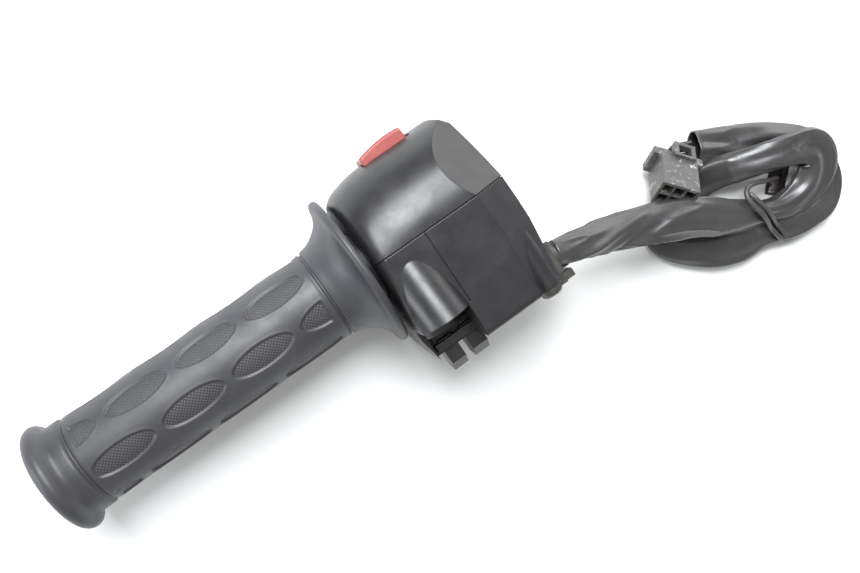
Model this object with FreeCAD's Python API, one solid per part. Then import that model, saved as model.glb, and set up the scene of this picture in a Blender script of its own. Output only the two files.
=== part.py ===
"""Throttle grip with its switch housing and harness, for the right end of a handlebar.

The origin is on the handlebar's axis, in the gap between the grip's flange and the housing.
+X runs along the bar towards its outer end, +Y points forwards, away from the rider, +Z is up.
Millimetres and degrees throughout.
"""
import FreeCAD, Part
import math
import os

V = FreeCAD.Vector
X_AXIS = V(1, 0, 0)
Z_AXIS = V(0, 0, 1)

# Handlebar and running fits
BAR_BORE_R = 11.15
TUBE_R = 13.2

# Grip, along the bar from the flange to the outer end
FLANGE_X = 1.0
FLANGE_R = 29.2
FLANGE_LIP = 3.2
NECK_X = 15.6
RING_X = 17.2
SLEEVE_R = 16.5
COLLAR_X = 112.7
COLLAR_R = 16.9
BEAD_X = 119.5
BEAD_R = 20.2
GRIP_END_X = 126.8

# Recessed ovals in the rubber: rows round the grip, every second row shifted by half a pitch
OVAL_ROWS = 7
OVAL_PITCH = 27.1
OVAL_FIRST_X = 18.1
OVAL_LENGTH = 23.8
OVAL_WIDTH = 8.8
OVAL_DEPTH = 0.6
OVAL_ROW_ANGLE = 230.1

# Housing: a round rear half and a block-shaped front half
FACE_X = -1.2
END_X = -55.2
REAR_R = 29.3
REAR_Z = -2.0
REAR_FOOT_Y = -10.0
TOP_Z = 27.2
FRONT_TOP_Z = 25.6
FRONT_Y = 41.3
FLOOR_Z = -29.5
EDGE_R = 2.0
WALL = 2.5
SLOPE_X = -42.0
# stations of the rear half: x, top z, rearmost y, bottom z
REAR_STATIONS = (
    (-1.2, 23.9, -24.3, -26.6), (-2.0, 25.6, -25.4, -28.0), (-3.5, 26.7, -26.6, -29.0),
    (-7.0, 27.2, -28.1, -29.5), (-11.5, 27.2, -29.2, -29.5), (-16.6, 27.2, -29.9, -29.5),
    (-22.0, 27.2, -30.5, -29.5),
)
DIVIDER_X = -15.5
DIVIDER = 2.0
CLAMP_X = -40.8
CLAMP_LENGTH = 14.4
CLAMP_R = 15.4
PARTING = 0.25

# Throttle cable port on the front half
PORT_X = -10.5
PORT_TILT = 17.0
PORT_Z = 15.4
PORT_R = 9.5
PORT_WALL = 1.5
PORT_Y = 28.0
CABLE_R = 3.6
CABLE_WIRE_R = 1.6
SEAT_FROM = 16.0
SEAT_LENGTH = 6.0
POCKET_X = (-19.5, -3.0)
POCKET_FLOOR = 3.0
FORK_SLOT = (-15.2, -11.8)
FORK_X = (-21.3, -6.0)
FORK_Y = 49.0

# Cable drum on the throttle tube
DRUM_X = (-13.5, -7.5)
DRUM_R = 18.5
DRUM_GROOVE_R = 15.5
LUG_R = 20.3
LUG_ANGLES = (80.0, 100.0)
TWIST_RANGE = 75.0
TUBE_END_X = 124.0
TUBE_START_X = -14.1

# Housing screws: (x, z, y of the head's seat)
SCREW_SEATS = ((-47.5, 17.4, 41.3), (-47.5, -19.0, 36.0), (-10.5, -24.4, 27.0))
SCREW_R = 2.4
SCREW_HEAD_R = 4.0
SCREW_HEAD = 3.0
SCREW_TUBE_R = 4.6
SCREW_TIP_Y = -3.5
TUBE_LUMP_Y = 18.6

# Kill switch rocker on the rear half
KILL_X = -29.0
KILL_PIVOT_Y = -23.6
KILL_HALF_WIDTH = 8.9
KILL_HALF_HEIGHT = 6.5
KILL_FACE = 10.1
KILL_TILT = 5.5
PIN_R = 1.0
PIN_GAP = 0.05

# Starter button below it
START_X = -29.0
START_Z = -17.3
START_R = 6.0
START_FACE_Y = -31.0

# Harness
CORD_R = 5.5
CORD_ROUTE = (
    (-59.4, 35.0, 3.0), (-66.5, 37.0, 2.2), (-75.5, 40.5, -1.4), (-87.0, 45.0, -4.0),
    (-102.0, 51.8, -4.8), (-118.6, 60.3, -6.4), (-134.6, 66.4, -15.0), (-148.3, 72.4, -21.4),
    (-160.0, 75.2, -22.6), (-171.2, 75.4, -20.8), (-178.2, 68.7, -16.8), (-178.2, 59.3, -13.4),
    (-171.2, 52.8, -12.3), (-161.5, 51.6, -12.8), (-152.0, 50.8, -15.8), (-142.0, 51.2, -20.8),
    (-132.0, 56.6, -23.6), (-122.0, 58.2, -23.8), (-111.6, 58.0, -23.8), (-106.0, 63.6, -23.8),
    (-106.0, 71.4, -23.8), (-111.6, 77.0, -23.8), (-123.5, 79.4, -23.2), (-135.5, 81.4, -21.6),
    (-147.5, 84.5, -21.2), (-158.0, 89.2, -22.8), (-168.0, 91.6, -23.8), (-178.5, 89.0, -23.8),
    (-186.0, 82.2, -23.8), (-189.0, 73.5, -23.8), (-187.5, 64.0, -23.8), (-182.5, 55.5, -23.8),
    (-174.5, 50.6, -23.8), (-165.0, 48.4, -23.8), (-155.0, 44.8, -23.6), (-146.0, 40.6, -22.8),
    (-137.8, 37.6, -21.6),
)
WIRE_R = 0.9
WIRE_ROUTE = ((-136.4, 37.2, -21.5), (-133.8, 36.0, -22.6), (-131.2, 34.9, -23.7), (-128.6, 35.2, -22.6))
WIRE_OFFSETS = ((-2.2, 1.1), (0.0, 1.1), (2.2, 1.1), (-2.2, -1.1), (0.0, -1.1), (2.2, -1.1))

# Six-way plug: one corner of its mouth and its three directions
PLUG_CORNER = V(-111.5, 38.4, -3.0)
PLUG_ALONG = V(0.605, 0.474, 0.640)
PLUG_ACROSS = V(-0.641, 0.766, 0.039)
PLUG_SIZE = (15.5, 16.8, 11.3)
PLUG_COLLAR = 4.0
PLUG_WAYS = (3, 2)
CAVITY = (3.9, 4.0)
CAVITY_DEPTH = 12.0

TIE_R = 0.9

os.makedirs("parts", exist_ok=True)


def export(name, shape):
    """Write one sub-part as a STEP file and report its volume."""
    shape.exportStep(f"parts/{name}.step")
    print(f"{name}: {len(shape.Solids)} solid(s), {shape.Volume / 1000:.2f} cm3, valid {shape.isValid()}")


def box(x, y, z):
    """Box between two limits on each axis."""
    return Part.makeBox(x[1] - x[0], y[1] - y[0], z[1] - z[0], V(x[0], y[0], z[0]))


def rod(radius, start, end):
    """Cylinder from one point to another."""
    along = V(*end) - V(*start)
    return Part.makeCylinder(radius, along.Length, V(*start), along)


def ring(outer, inner, start, end):
    """Tube from one point to another, with overlong bore cutter."""
    along = (V(*end) - V(*start)).normalize()
    bore = rod(inner, V(*start) - along, V(*end) + along)
    return rod(outer, start, end).cut(bore)


def prism(points, height):
    """Extrude a closed polygon along a vector."""
    corners = [V(*p) for p in points]
    return Part.Face(Part.makePolygon(corners + corners[:1])).extrude(height)


def sector(outer, inner, x, angles):
    """Piece of a ring about the bar's axis; angles run from +Y towards +Z."""
    turn = angles[1] - angles[0]
    start = V(x[0], 0, 0)
    solid = Part.makeCylinder(outer, x[1] - x[0], start, X_AXIS, turn)
    solid = solid.cut(Part.makeCylinder(inner, x[1] - x[0], start, X_AXIS, 360))
    # a cylinder about +X starts its sweep at -Z in this kernel, so it is turned into place
    reference = solid.Solids[0].CenterOfMass
    found = math.degrees(math.atan2(reference.z, reference.y))
    solid = solid.Solids[0]
    solid.rotate(V(0, 0, 0), X_AXIS, (angles[0] + angles[1]) / 2 - found)
    return solid


def round_edges(solid, radius, wanted):
    """Round the edges that a test picks."""
    edges = [e for e in solid.Edges if wanted(e)]
    return solid.makeFillet(radius, edges)


def rounded_route(points):
    """Wire of straight runs joined by the largest tangent arcs that fit them."""
    nodes = [V(*p) for p in points]
    edges = []
    radii = []
    here = nodes[0]
    for before, corner, after in zip(nodes, nodes[1:], nodes[2:]):
        back = (before - corner).normalize()
        ahead = (after - corner).normalize()
        half = (math.pi - back.getAngle(ahead)) / 2
        trim = 0.45 * min((before - corner).Length, (after - corner).Length)
        radius = trim / math.tan(half)
        radii.append(radius)
        first = corner + back * trim
        last = corner + ahead * trim
        middle_way = (back + ahead).normalize()
        middle = corner + middle_way * (radius / math.cos(half) - radius)
        edges.append(Part.LineSegment(here, first).toShape())
        edges.append(Part.Arc(first, middle, last).toShape())
        here = last
    edges.append(Part.LineSegment(here, nodes[-1]).toShape())
    return Part.Wire(edges), radii


def tube_along(points, radius):
    """Round tube along a rounded route."""
    wire, radii = rounded_route(points)
    start = V(*points[0])
    direction = V(*points[1]) - start
    section = Part.Wire(Part.makeCircle(radius, start, direction))
    return wire.makePipeShell([section], True, False), wire.Length, radii


# ---------------------------------------------------------------- grip and tube

def grip_rubber():
    """Rubber grip: flange, flare, sleeve, collar and end bead, with recessed ovals."""
    def point(x, r):
        return V(x, 0, r)

    lip = FLANGE_LIP / 2
    inner = TUBE_R
    seat_r = 25.0
    seat_x = FLANGE_X + 1.6
    outline = [
        Part.LineSegment(point(GRIP_END_X - 1.0, inner), point(seat_x, inner)),
        Part.LineSegment(point(seat_x, inner), point(seat_x, seat_r)),
        Part.LineSegment(point(seat_x, seat_r), point(FLANGE_X, seat_r + 1.2)),
        Part.LineSegment(point(FLANGE_X, seat_r + 1.2), point(FLANGE_X, FLANGE_R - lip)),
        Part.Arc(point(FLANGE_X, FLANGE_R - lip), point(FLANGE_X + lip, FLANGE_R),
                 point(FLANGE_X + FLANGE_LIP, FLANGE_R - lip)),
        Part.Arc(point(FLANGE_X + FLANGE_LIP, FLANGE_R - lip), point(8.2, 20.6), point(NECK_X, 17.1)),
        Part.LineSegment(point(NECK_X, 17.1), point(NECK_X + 0.1, 16.3)),
        Part.LineSegment(point(NECK_X + 0.1, 16.3), point(RING_X - 0.5, 16.3)),
        Part.LineSegment(point(RING_X - 0.5, 16.3), point(RING_X, SLEEVE_R)),
        Part.LineSegment(point(RING_X, SLEEVE_R), point(COLLAR_X - 0.6, SLEEVE_R)),
        Part.LineSegment(point(COLLAR_X - 0.6, SLEEVE_R), point(COLLAR_X, SLEEVE_R - 0.8)),
        Part.LineSegment(point(COLLAR_X, SLEEVE_R - 0.8), point(COLLAR_X + 0.8, COLLAR_R)),
        Part.LineSegment(point(COLLAR_X + 0.8, COLLAR_R), point(BEAD_X, COLLAR_R)),
        Part.Arc(point(BEAD_X, COLLAR_R), point(BEAD_X + 1.1, BEAD_R - 1.1), point(BEAD_X + 3.2, BEAD_R)),
        Part.Arc(point(BEAD_X + 3.2, BEAD_R), point(GRIP_END_X - 0.9, BEAD_R - 1.6),
                 point(GRIP_END_X, BEAD_R - 4.4)),
        Part.LineSegment(point(GRIP_END_X, BEAD_R - 4.4), point(GRIP_END_X, inner + 1.0)),
        Part.LineSegment(point(GRIP_END_X, inner + 1.0), point(GRIP_END_X - 1.0, inner)),
    ]
    face = Part.Face(Part.Wire([e.toShape() for e in outline]))
    grip = face.revolve(V(0, 0, 0), X_AXIS, 360)
    if grip.Volume < 0:
        grip.reverse()
    return grip.cut(Part.makeCompound(list(oval_cutters())))


def oval_cutters():
    """Thin curved plates, one for each recessed oval."""
    low = RING_X + 1.4
    high = COLLAR_X - 1.4
    band = ring(SLEEVE_R + 1, SLEEVE_R - OVAL_DEPTH, (low, 0, 0), (high, 0, 0))
    for row in range(OVAL_ROWS):
        angle = OVAL_ROW_ANGLE - row * 360.0 / OVAL_ROWS
        shift = OVAL_PITCH / 2 * (1 - row % 2)
        for step in range(5):
            centre = OVAL_FIRST_X + shift + step * OVAL_PITCH
            if centre > COLLAR_X + OVAL_LENGTH / 4:
                continue
            oval = Part.Ellipse(V(centre, 0, 0), OVAL_LENGTH / 2, OVAL_WIDTH / 2).toShape()
            plate = Part.Face(Part.Wire(oval)).extrude(V(0, 0, SLEEVE_R + 2))
            plate.rotate(V(0, 0, 0), X_AXIS, angle - 90)
            yield plate.common(band)


def throttle_tube():
    """Plastic tube that turns on the bar, with a flange, a grooved cable drum and a stop lug."""
    tube = rod(TUBE_R, (TUBE_START_X, 0, 0), (TUBE_END_X, 0, 0))
    flange = rod(24.6, (FLANGE_X + 0.1, 0, 0), (FLANGE_X + 1.6, 0, 0))
    drum = rod(DRUM_R, (DRUM_X[0], 0, 0), (DRUM_X[1], 0, 0))
    groove_half = 1.3
    groove = ring(DRUM_R + 1, DRUM_GROOVE_R, (PORT_X - groove_half, 0, 0), (PORT_X + groove_half, 0, 0))
    lug = sector(LUG_R, DRUM_R - 1, (DRUM_X[0], PORT_X - groove_half), LUG_ANGLES)
    nipple_angle = math.radians(115)
    nipple_y = DRUM_GROOVE_R * math.cos(nipple_angle)
    nipple_z = DRUM_GROOVE_R * math.sin(nipple_angle)
    nipple = rod(2.1, (PORT_X - groove_half, nipple_y, nipple_z), (DRUM_X[1] + 1, nipple_y, nipple_z))
    solid = tube.fuse([flange, drum, lug]).cut([groove, nipple])
    bore = rod(BAR_BORE_R, (TUBE_START_X - 1, 0, 0), (TUBE_END_X + 1, 0, 0))
    return solid.cut(bore).removeSplitter()


def thrust_washer():
    """Nylon washer between the tube's end and the housing's dividing wall."""
    return ring(17.0, BAR_BORE_R + 0.9, (DIVIDER_X + 0.05, 0, 0), (DIVIDER_X + 1.05, 0, 0))


# ---------------------------------------------------------------- housing

def wire_of(shapes):
    """Wire from line and arc segments in order."""
    return Part.Wire([shape.toShape() for shape in shapes])


def rear_section(x, top, rear, bottom):
    """Bow-shaped outline across the bar at one station of the rear half."""
    crown = V(x, 0, top)
    foot = V(x, REAR_FOOT_Y, bottom)
    return wire_of([
        Part.Arc(crown, V(x, rear, REAR_Z), foot),
        Part.LineSegment(foot, V(x, 0, bottom)),
        Part.LineSegment(V(x, 0, bottom), crown),
    ])


def rear_lump(inset):
    """Rear half before its inboard end is shaped, moved inwards by an inset."""
    sections = [rear_section(x - inset, top - inset, rear + inset, bottom + inset)
                for x, top, rear, bottom in REAR_STATIONS]
    rounded = Part.makeLoft(sections, True, False)
    straight = Part.Face(sections[-1]).extrude(V(-60, 0, 0))
    return rounded.fuse(straight)


def front_lump(inset):
    """Front half before its inboard end is shaped, moved inwards by an inset."""
    top = TOP_Z - inset
    front_top = FRONT_TOP_Z - inset
    front = FRONT_Y - inset
    bottom = FLOOR_Z + inset
    face_x = FACE_X - inset
    corner = EDGE_R

    def across(y, z):
        return V(5, y, z)

    def along(x, z):
        return V(x, -5, z)

    profile = wire_of([
        Part.LineSegment(across(0, bottom), across(0, top)),
        Part.LineSegment(across(0, top), across(front - corner, front_top)),
        Part.Arc(across(front - corner, front_top), across(front - 0.29 * corner, front_top - 0.35 * corner),
                 across(front, front_top - corner)),
        Part.LineSegment(across(front, front_top - corner), across(front - 0.6, -8.0)),
        Part.Arc(across(front - 0.6, -8.0), across(front - 6.4, -22.0), across(front - 18.0, bottom)),
        Part.LineSegment(across(front - 18.0, bottom), across(0, bottom)),
    ])
    side = wire_of([
        Part.LineSegment(along(face_x, bottom + 3.0), along(face_x, top - 3.4)),
        Part.Arc(along(face_x, top - 3.4), along(face_x - 1.3, top - 1.0), along(face_x - 4.6, top + 0.05)),
        Part.LineSegment(along(face_x - 4.6, top + 0.05), along(face_x - 4.6, top + 9)),
        Part.LineSegment(along(face_x - 4.6, top + 9), along(-80, top + 9)),
        Part.LineSegment(along(-80, top + 9), along(-80, bottom)),
        Part.LineSegment(along(-80, bottom), along(face_x - 3.0, bottom)),
        Part.Arc(along(face_x - 3.0, bottom), along(face_x - 0.88, bottom + 0.88),
                 along(face_x, bottom + 3.0)),
    ])
    lump = Part.Face(profile).extrude(V(-85, 0, 0))
    return lump.common(Part.Face(side).extrude(V(0, 80, 0)))


def housing_plan(inset):
    """Prism of the housing's inboard outline seen from above, moved inwards by an inset."""
    def point(x, y):
        return V(x, y, FLOOR_Z - 9)

    rear = -46.0
    corner_x = -47.0 + inset / 2
    shoulder = point(-52.2 + inset, -24.6 + inset / 2)
    hip = point(-54.2 + inset, 31.0)
    toe = point(-53.6 + inset, 52.0)
    edges = [
        Part.LineSegment(point(9, rear), point(corner_x, rear)),
        Part.LineSegment(point(corner_x, rear), point(corner_x, -30.4 + inset)),
        Part.LineSegment(point(corner_x, -30.4 + inset), shoulder),
        Part.Arc(shoulder, point(END_X + inset, 6.0), hip),
        Part.LineSegment(hip, toe),
        Part.LineSegment(toe, point(-5.0 - inset, 52.0)),
        Part.LineSegment(point(-5.0 - inset, 52.0), point(FACE_X - inset, 32.0)),
        Part.LineSegment(point(FACE_X - inset, 32.0), point(9, 20.0)),
        Part.LineSegment(point(9, 20.0), point(9, rear)),
    ]
    return Part.Face(wire_of(edges)).extrude(V(0, 0, 90))


def slope_cutter(inset, side):
    """Block above the sloped inboard face of the rear (-1) or front (+1) half, or below both (0)."""
    far = 90.0
    if side < 0:
        normal = V(-0.531, -0.328, 0.781)
    elif side > 0:
        normal = V(-0.562, 0.0, 0.827)
    else:
        normal = V(-0.713, 0.0, -0.701)
    level = FLOOR_Z + 6.0 if side == 0 else TOP_Z
    start_x = -46.0 if side == 0 else SLOPE_X
    on_plane = V(start_x, 0, level) - normal * inset
    block = Part.makeBox(2 * far, 2 * far, far, V(-far, -far, 0))
    block.Placement = FreeCAD.Placement(on_plane, FreeCAD.Rotation(Z_AXIS, normal))
    half = {-1: (-far, 0.0), 1: (0.0, far), 0: (-far, far)}[side]
    return block.common(box((-2 * far, far), half, (-far, far)))


def valley_cutter(inset):
    """Block that lowers the front of the sloped face, so that the screw tube stands out of it."""
    tilt = 13.0
    normal = V(-0.562, 0.0, 0.827)
    block = Part.makeBox(60, 60, 40, V(-30, 0, 0))
    block.Placement = FreeCAD.Placement(V(SLOPE_X, 18.0, TOP_Z) - normal * inset,
                                        FreeCAD.Rotation(Z_AXIS, normal))
    block.rotate(V(SLOPE_X, 18.0, TOP_Z), X_AXIS, -tilt)
    return block.common(box((-90, SLOPE_X - 0.3 + inset), (18.0, 60), (-10, 60)))


def half_body(inset, side):
    """One half of the housing as a solid lump: rear (-1) or front (+1), moved inwards by an inset."""
    lump = rear_lump(inset) if side < 0 else front_lump(inset)
    cutters = [slope_cutter(inset, side), slope_cutter(inset, 0)]
    if side > 0:
        cutters.append(valley_cutter(inset))
    return lump.common(housing_plan(inset)).cut(cutters).Solids[0]


def port_shell(radius):
    """Slanted cylinder of the cable port, cut off upright at its mouth."""
    tilt = math.radians(PORT_TILT)
    along = V(0, math.cos(tilt), math.sin(tilt))
    start = V(PORT_X, 0, PORT_Z)
    length = 60.0
    return Part.makeCylinder(radius, length, start, along)


def port_block():
    """Fork, ledge and inner wall in the cable port's pocket."""
    left, right = POCKET_X
    fork_top = 6.0
    ledge = box((left, right - 1.0), (36.5, 39.5), (POCKET_FLOOR - 1, 8.5))
    prongs = []
    for x in ((FORK_X[0], FORK_SLOT[0]), (FORK_SLOT[1], FORK_X[1])):
        side = [(x[0], 36.0, -6), (x[0], FORK_Y - 1.5, -6), (x[0], FORK_Y, 1.0),
                (x[0], FORK_Y - 3.5, fork_top),
                (x[0], 36.0, fork_top)]
        prongs.append(prism(side, V(x[1] - x[0], 0, 0)))
    arch = rod(8.7, (PORT_X - 0.6, 30.3, 9.0), (PORT_X - 0.6, 32.3, 9.0))
    arch = arch.common(box((left, right), (30, 33), (POCKET_FLOOR - 1, 30)))
    return ledge, prongs, arch


def half_shell(side):
    """Shell of one half with its dividing wall, clamp, web and screw tubes."""
    outer = half_body(0.0, side)
    inner = half_body(0.4, side)
    reach = (-60, 0) if side < 0 else (0, 60)
    cavity = half_body(WALL, side).common(box((-53.0, -3.7), reach, (-60, 60)))
    wall = box((DIVIDER_X - DIVIDER, DIVIDER_X), reach, (-60, 60)).common(inner)
    clamp = rod(CLAMP_R, (CLAMP_X, 0, 0), (CLAMP_X - CLAMP_LENGTH, 0, 0)).common(inner)
    web = box((CLAMP_X - 2.0, CLAMP_X), reach, (-60, 60)).common(inner)
    web = web.cut(box((-60, 0), (24, 38), (-3, 12)))
    half_space = box((-60, FACE_X), reach, (-60, 60))
    tubes = []
    for x, z, seat in SCREW_SEATS:
        tube = rod(SCREW_TUBE_R, (x, SCREW_TIP_Y - 4, z), (x, seat, z))
        tubes.append(tube.common(outer if z > 0 else half_space))
    if side > 0:
        tubes += [rod(SCREW_TUBE_R, (x, TUBE_LUMP_Y, z), (x, seat, z)) for x, z, seat in SCREW_SEATS[:1]]
    ribs = [rib.common(inner) for rib in stop_ribs()]
    shell = outer.cut(cavity).fuse([wall, clamp, web] + tubes)
    shell = shell.cut(drum_room())
    return shell.fuse([rib for rib in ribs if rib.Solids])


def port_solids():
    """Dome of the cable port, its seat wall and the walls of the pocket, clear of the drum."""
    front = box((-60, FACE_X), (0.5, 60), (-60, 60))
    hollow = port_shell(PORT_R - PORT_WALL)
    dome = port_shell(PORT_R).cut(hollow).common(box((-30, FACE_X), (0.5, PORT_Y), (8, 50)))
    seat = cable_seat().common(front)
    walls = box((POCKET_X[0] - 2.0, POCKET_X[1] + 1.8), (PORT_Y - 2.0, FRONT_Y - 0.5),
                (POCKET_FLOOR - 2.2, TOP_Z - 1.0)).common(half_body(0.1, 1))
    return [solid.cut(drum_room()) for solid in (dome, seat, walls)]


def cable_passage():
    """Small bore from the drum's chamber for the inner wire, then the ferrule's seat."""
    tilt = math.radians(PORT_TILT)
    along = V(0, math.cos(tilt), math.sin(tilt))
    start = V(PORT_X, 0, PORT_Z)
    wire = Part.makeCylinder(CABLE_WIRE_R, SEAT_FROM + 1, start, along)
    return wire.fuse(Part.makeCylinder(CABLE_R, 24, start + along * SEAT_FROM, along))


def cable_seat():
    """Thick wall inside the port that the throttle cable's ferrule sits in."""
    tilt = math.radians(PORT_TILT)
    along = V(0, math.cos(tilt), math.sin(tilt))
    shoulder = 2.6
    start = V(PORT_X, 0, PORT_Z) + along * (SEAT_FROM - shoulder)
    return Part.makeCylinder(PORT_R - 0.5, SEAT_LENGTH + shoulder, start, along)


def housing_cutters():
    """Everything that is bored or cut through both halves."""
    cutters = [
        rod(BAR_BORE_R, (0, 0, 0), (-70, 0, 0)),
        rod(TUBE_R + 0.6, (0, 0, 0), (-3.9, 0, 0)),
        rod(BAR_BORE_R + 0.6, (DIVIDER_X - 5, 0, 0), (DIVIDER_X + 1, 0, 0)),
        cable_passage(),
    ]
    for x, z, seat in SCREW_SEATS:
        cutters.append(rod(SCREW_R, (x, SCREW_TIP_Y, z), (x, 60, z)))
        if seat < FRONT_Y:
            cutters.append(rod(SCREW_HEAD_R + 0.3, (x, seat, z), (x, 60, z)))
    return cutters


def drum_room():
    """Chamber that the drum and its lug turn in, clear of the bosses and walls."""
    return rod(LUG_R + 0.5, (-3.7, 0, 0), (DIVIDER_X, 0, 0))


def stop_ribs():
    """Two ribs that stop the drum's lug, closed and wide open."""
    closed = sector(REAR_R, DRUM_R + 0.7, (DRUM_X[0] + 0.4, PORT_X - 1.5), (68.0, LUG_ANGLES[0] - 1.2))
    wide = LUG_ANGLES[1] + TWIST_RANGE
    opened = sector(REAR_R, DRUM_R + 0.7, (DRUM_X[0] + 0.4, PORT_X - 1.5), (wide + 1.2, wide + 12))
    return closed, opened


def parting_groove():
    """Fine step along the parting line, cut into the front half."""
    skin = half_body(-2.0, 1).cut(half_body(0.45, 1))
    return skin.common(box((-70, 0), (-1, PARTING), (-60, 60)))


def kill_window():
    """Rectangular window for the rocker, with a shallow rim."""
    half = KILL_HALF_WIDTH + 1.05
    high = KILL_HALF_HEIGHT + 0.5
    return box((KILL_X - half, KILL_X + half), (-40, -24), (-high, high))


def housing_rear():
    """Rear half, with the rocker's window and the starter button's collar."""
    collar = rod(START_R + 2.4, (START_X, -30.0, START_Z), (START_X, -21.5, START_Z))
    collar = round_edges(collar, 0.8, lambda e: e.CenterOfMass.y < -29.9)
    hole = rod(START_R + 0.35, (START_X, -40, START_Z), (START_X, -18.6, START_Z))
    return half_shell(-1).fuse([collar]).cut([hole, kill_window()] + housing_cutters()).removeSplitter()


def housing_front():
    """Front half, with the cable port, its pocket and fork, and the grommet's window."""
    solid = half_shell(1).fuse(port_solids())
    pocket = box(POCKET_X, (PORT_Y, 60), (POCKET_FLOOR, 60))
    mouth = port_shell(PORT_R - PORT_WALL).common(box((-30, 0), (22, 60), (POCKET_FLOOR, 60)))
    low_wall = box((POCKET_X[1] - 0.2, 5), (PORT_Y, 60), (10.0, 60))
    solid = solid.cut([pocket, mouth, low_wall])
    ledge, prongs, arch = port_block()
    fork_base = box((POCKET_X[0], POCKET_X[1] - 1.5), (30, 38.5), (-6, POCKET_FLOOR + 0.5))
    solid = solid.fuse([ledge, arch, fork_base] + prongs)
    crease = box((-20.8, -20.55), (0.4, PORT_Y), (TOP_Z - 1.6, 40)).cut(half_body(0.3, 1))
    window = box((-60, -50), (29.6, 40.0), (-4.6, 9.6))
    return solid.cut([parting_groove(), crease, window] + housing_cutters()).removeSplitter()


def housing_screws():
    """Pan-head screws with a cross recess."""
    screws = []
    for x, z, seat in SCREW_SEATS:
        head = rod(SCREW_HEAD_R, (x, seat, z), (x, seat + SCREW_HEAD, z))
        head = round_edges(head, 1.4, lambda e: abs(e.CenterOfMass.y - seat - SCREW_HEAD) < 0.01)
        shank = rod(SCREW_R - 0.15, (x, SCREW_TIP_Y + 0.5, z), (x, seat, z))
        top = seat + SCREW_HEAD
        cross = [box((x - 2.2, x + 2.2), (top - 1.3, top + 1), (z - 0.45, z + 0.45)),
                 box((x - 0.45, x + 0.45), (top - 1.3, top + 1), (z - 2.2, z + 2.2))]
        screws.append(head.fuse(shank).cut(cross))
    return Part.makeCompound(screws)


# ---------------------------------------------------------------- switches

def kill_rocker():
    """Red rocker with a crowned face, tilted to its rest place."""
    half = KILL_HALF_WIDTH
    face = KILL_FACE
    high = KILL_HALF_HEIGHT
    y = KILL_PIVOT_Y
    outline = [
        Part.LineSegment(V(KILL_X - half, y + 1.0, -high), V(KILL_X - half, y - face + 0.9, -high)),
        Part.Arc(V(KILL_X - half, y - face + 0.9, -high), V(KILL_X, y - face, -high),
                 V(KILL_X + half, y - face + 0.9, -high)),
        Part.LineSegment(V(KILL_X + half, y - face + 0.9, -high), V(KILL_X + half, y + 1.0, -high)),
        Part.Arc(V(KILL_X + half, y + 1.0, -high), V(KILL_X, y + 3.4, -high),
                 V(KILL_X - half, y + 1.0, -high)),
    ]
    body = Part.Face(Part.Wire([e.toShape() for e in outline])).extrude(V(0, 0, 2 * high))
    body = round_edges(body, 1.1, lambda e: e.BoundBox.YMax < y - face + 3.0)
    body = body.cut(rod(PIN_R + PIN_GAP, (KILL_X, y, -high - 1), (KILL_X, y, high + 1)))
    body.rotate(V(KILL_X, y, 0), Z_AXIS, KILL_TILT)
    return body


def kill_base():
    """Carrier behind the rocker: two cheeks that hold the pin, a floor and two screw ears."""
    outer_half = KILL_HALF_WIDTH + 2.4
    room = KILL_HALF_WIDTH + 1.6
    cheek = KILL_HALF_HEIGHT + 0.4
    front_y = KILL_PIVOT_Y + 8.4
    block = box((KILL_X - outer_half, KILL_X + outer_half), (-24.2, front_y), (-8.8, 8.8))
    ears = box((KILL_X - outer_half - 0.01, KILL_X + outer_half), (front_y - 2.0, front_y), (8.8, 13.5))
    hollow = box((KILL_X - room, KILL_X + room), (-30, front_y - 1.6), (-cheek, cheek))
    pin = rod(PIN_R, (KILL_X, KILL_PIVOT_Y, -12), (KILL_X, KILL_PIVOT_Y, 12))
    holes = [rod(1.1, (KILL_X + side, -30, 11.2), (KILL_X + side, 0, 11.2)) for side in (-8, 8)]
    base = block.fuse([ears]).cut([hollow, pin] + holes)
    room_for_bar = rod(BAR_BORE_R + 1.0, (-60, 0, 0), (0, 0, 0))
    return base.cut(room_for_bar).removeSplitter()


def kill_pin():
    """Pivot pin, upright."""
    return rod(PIN_R, (KILL_X, KILL_PIVOT_Y, -8.6), (KILL_X, KILL_PIVOT_Y, 8.6))


def kill_contacts():
    """Two fixed contact strips on the carrier's floor."""
    y = KILL_PIVOT_Y + 6.8
    return Part.makeCompound([box((KILL_X + side - 1.5, KILL_X + side + 1.5), (y - 0.9, y), (-5.5, 5.5))
                              for side in (-7.4, 7.4)])


def kill_bridge():
    """Moving contact strip clipped to the rocker's back."""
    y = KILL_PIVOT_Y
    strip = box((KILL_X - 2.0, KILL_X + 2.0), (y + 3.4, y + 4.0), (-3.0, 3.0))
    strip.rotate(V(KILL_X, y, 0), Z_AXIS, KILL_TILT)
    return strip


def kill_leaf():
    """Bowed leaf spring behind the rocker, which gives it its two places."""
    y = KILL_PIVOT_Y + 6.6
    outer = Part.Arc(V(KILL_X - 5.0, y, -2), V(KILL_X, y - 1.2, -2), V(KILL_X + 5.0, y, -2))
    inner = Part.Arc(V(KILL_X + 4.7, y + 0.2, -2), V(KILL_X, y - 0.9, -2), V(KILL_X - 4.7, y + 0.2, -2))
    ends = [Part.LineSegment(outer.EndPoint, inner.StartPoint),
            Part.LineSegment(inner.EndPoint, outer.StartPoint)]
    wire = Part.Wire([outer.toShape(), ends[0].toShape(), inner.toShape(), ends[1].toShape()])
    return Part.Face(wire).extrude(V(0, 0, 4))


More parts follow.
